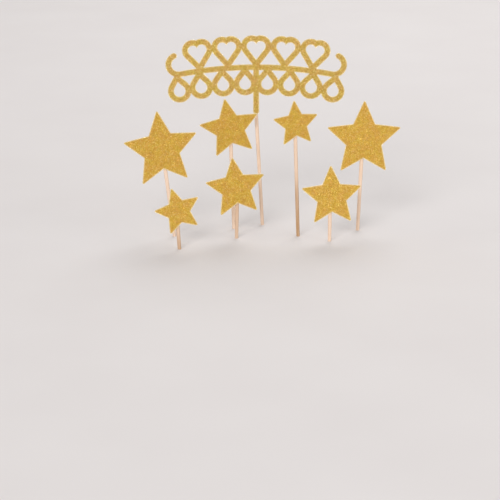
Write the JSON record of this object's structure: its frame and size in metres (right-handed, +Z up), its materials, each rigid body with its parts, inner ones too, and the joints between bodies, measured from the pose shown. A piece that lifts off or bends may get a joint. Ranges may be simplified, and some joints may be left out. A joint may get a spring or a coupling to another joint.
{
  "type": "cake topper",
  "caption": "Cake topper set in gold glitter card: a wide openwork sign of hearts and drops with star picks around it, each glued to a pointed wooden stick.",
  "frame": {"origin": "where the axis of the sign's stick meets the top of the cake", "axes": "+Z up out of the cake, +X to the viewer's right, the cards' glitter faces towards -Y"},
  "size_m": [0.1829, 0.0654, 0.1989],
  "materials": {
    "glitter_card": "gold glitter on pale card",
    "wood": "bare, sanded",
    "hot_melt_glue": "cloudy, clear"
  },
  "bodies": {
    "sign_pick": {"sign_card": "glitter_card", "sign_stick": "wood", "sign_glue": "hot_melt_glue"},
    "left_large_star_pick": {"left_large_star_card": "glitter_card", "left_large_star_stick": "wood", "left_large_star_glue": "hot_melt_glue"},
    "left_small_star_pick": {"left_small_star_card": "glitter_card", "left_small_star_stick": "wood", "left_small_star_glue": "hot_melt_glue"},
    "centre_upper_star_pick": {"centre_upper_star_card": "glitter_card", "centre_upper_star_stick": "wood", "centre_upper_star_glue": "hot_melt_glue"},
    "centre_lower_star_pick": {"centre_lower_star_card": "glitter_card", "centre_lower_star_stick": "wood", "centre_lower_star_glue": "hot_melt_glue"},
    "right_small_star_pick": {"right_small_star_card": "glitter_card", "right_small_star_stick": "wood", "right_small_star_glue": "hot_melt_glue"},
    "right_large_star_pick": {"right_large_star_card": "glitter_card", "right_large_star_stick": "wood", "right_large_star_glue": "hot_melt_glue"},
    "right_medium_star_pick": {"right_medium_star_card": "glitter_card", "right_medium_star_stick": "wood", "right_medium_star_glue": "hot_melt_glue"}
  },
  "joints": [
    {"name": "left_large_star_slide", "type": "slide", "parent": "sign_pick", "child": "left_large_star_pick", "axis": [-0.1305, 0.1208, 0.9841], "range_m": [-0.035, 0.032]},
    {"name": "left_small_star_slide", "type": "slide", "parent": "sign_pick", "child": "left_small_star_pick", "axis": [-0.068, 0.1043, 0.9922], "range_m": [-0.009, 0.068]},
    {"name": "centre_upper_star_slide", "type": "slide", "parent": "sign_pick", "child": "centre_upper_star_pick", "axis": [-0.0332, 0, 0.9995], "range_m": [-0.049, 0.022]},
    {"name": "centre_lower_star_slide", "type": "slide", "parent": "sign_pick", "child": "centre_lower_star_pick", "axis": [0.0157, 0.1045, 0.9944], "range_m": [-0.014, 0.058]},
    {"name": "right_small_star_slide", "type": "slide", "parent": "sign_pick", "child": "right_small_star_pick", "axis": [-0.0314, 0.0871, 0.9957], "range_m": [-0.06, 0.018]},
    {"name": "right_large_star_slide", "type": "slide", "parent": "sign_pick", "child": "right_large_star_pick", "axis": [0.0454, 0.1044, 0.9935], "range_m": [-0.039, 0.028]},
    {"name": "right_medium_star_slide", "type": "slide", "parent": "sign_pick", "child": "right_medium_star_pick", "axis": [0.0105, 0.1219, 0.9925], "range_m": [-0.011, 0.062]}
  ]
}
